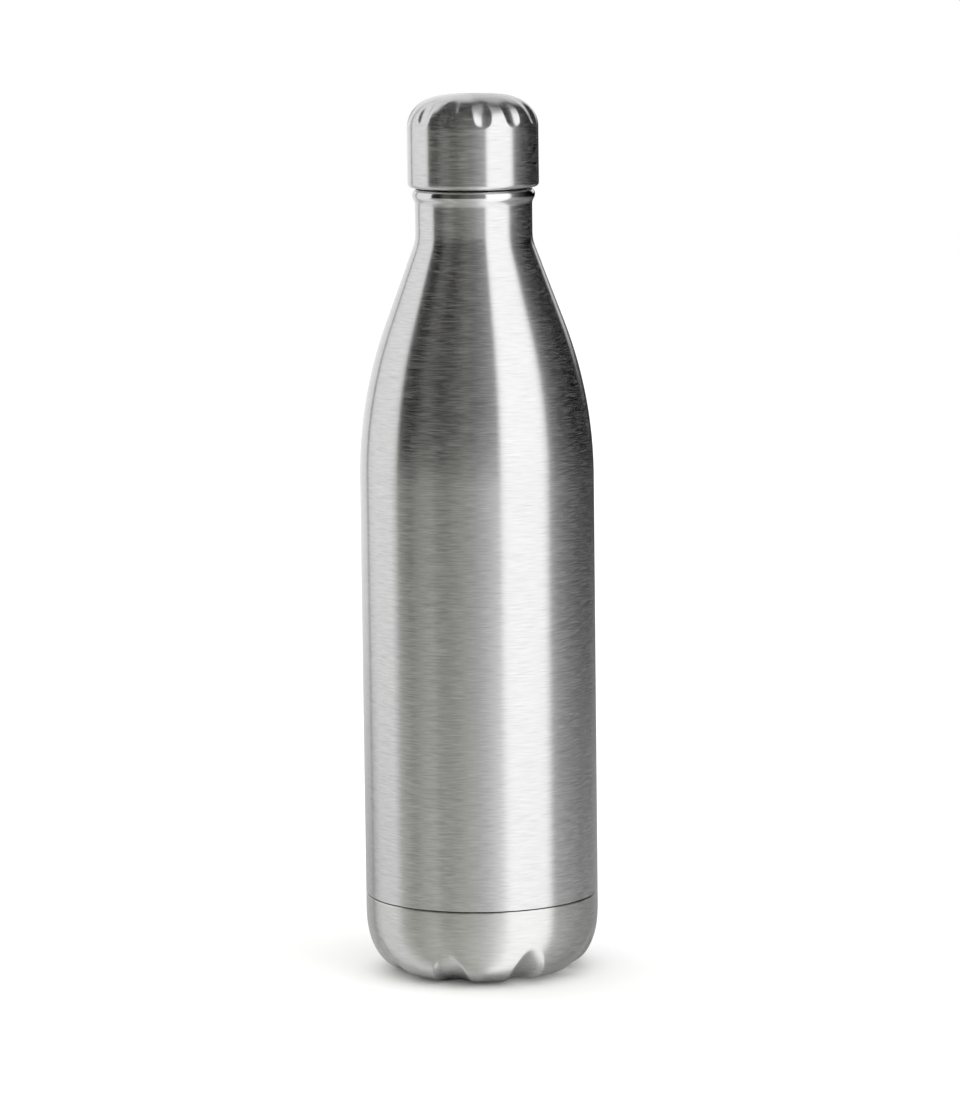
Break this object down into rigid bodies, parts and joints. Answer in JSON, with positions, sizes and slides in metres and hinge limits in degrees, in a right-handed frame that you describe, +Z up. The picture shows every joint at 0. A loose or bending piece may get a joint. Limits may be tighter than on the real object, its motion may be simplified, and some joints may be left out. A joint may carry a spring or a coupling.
{
  "type": "insulated water bottle",
  "caption": "Vacuum-insulated steel bottle with a sloping shoulder, a dented foot ring and a screw cap with finger dents.",
  "frame": {"origin": "centre of the bottle, on the ground plane that it stands on", "axes": "+Z up along the bottle's axis towards the cap; +X and +Y are level, and the first base dent is 26 degrees round from +X"},
  "size_m": [0.0807, 0.0806, 0.3042],
  "materials": {
    "barrel_steel": "brushed round the axis, with a polished bead under the cap",
    "base_steel": "brushed round the axis, a little finer and warmer than the barrel",
    "cap_steel": "brushed round the axis, with smooth dents",
    "inner_steel": "electropolished, satin",
    "copper_foil": "thin crumpled copper foil",
    "getter": "matt sintered metal",
    "seal_glass": "dark solder glass",
    "silicone": "translucent white silicone, satin",
    "insert_plastic": "natural white polypropylene, fine moulded satin",
    "adhesive": "cured dark adhesive",
    "foam": "open-cell insulating foam"
  },
  "bodies": {
    "bottle": {"outer_shell": "barrel_steel", "outer_bottom": "inner_steel", "base_cup": "base_steel", "base_bond": "adhesive", "inner_liner": "inner_steel", "inner_bottom": "inner_steel", "reflective_foil": "copper_foil", "getter_pill": "getter", "getter_clip": "inner_steel", "port_glass": "seal_glass"},
    "seal": {"seal_ring": "silicone"},
    "cap": {"cap_shell": "cap_steel", "cap_insert": "insert_plastic", "cap_bond": "adhesive", "stopper_plug": "insert_plastic", "plug_lid": "insert_plastic", "plug_foam": "foam", "cap_foam": "foam"}
  },
  "joints": [
    {"name": "cap_rise", "type": "slide", "parent": "bottle", "child": "seal", "axis": [0, 0, 1], "range_m": [0, 0.0261]},
    {"name": "cap_turn", "type": "hinge", "parent": "seal", "child": "cap", "pos_m": [0, 0, 0.2655], "axis": [0, 0, 1], "range_deg": [0, 2340]}
  ],
  "couplings": [
    {"joint": "cap_rise", "follows": "cap_turn", "m_per_rad": 0.00063662}
  ]
}
